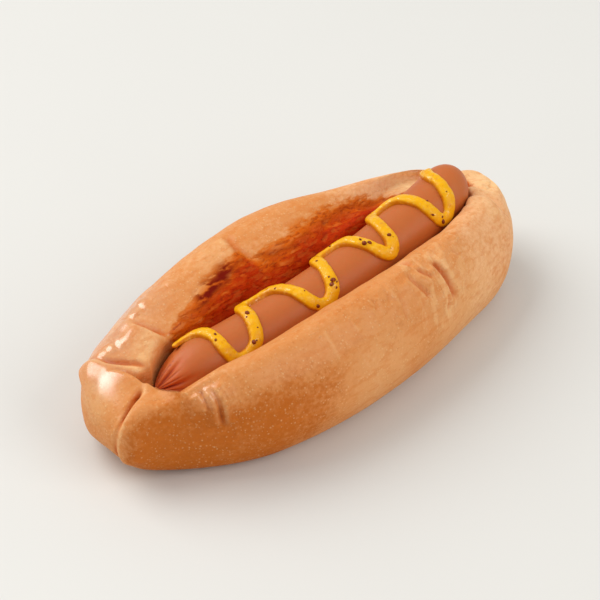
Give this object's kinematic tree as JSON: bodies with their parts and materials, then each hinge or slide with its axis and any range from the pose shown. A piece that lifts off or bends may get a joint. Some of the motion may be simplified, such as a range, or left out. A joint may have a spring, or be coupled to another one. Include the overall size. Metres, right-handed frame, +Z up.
{
  "type": "hot dog",
  "caption": "Soft golden roll baked round a sausage, open along the top, with a thick zigzag line of mustard over the sausage.",
  "frame": {"origin": "on the roll's flat underside, below the middle of the sausage's slot", "axes": "+X along the roll towards the sausage's rounded end, +Y towards the roll's rear side with the broad torn inner wall, +Z up"},
  "size_m": [0.181, 0.0833, 0.0446],
  "materials": {
    "crust": "satin golden-brown crust",
    "sausage": "smooth moist skin"
  },
  "bodies": {
    "root": {"bun": "crust", "sausage": "sausage"}
  },
  "joints": []
}
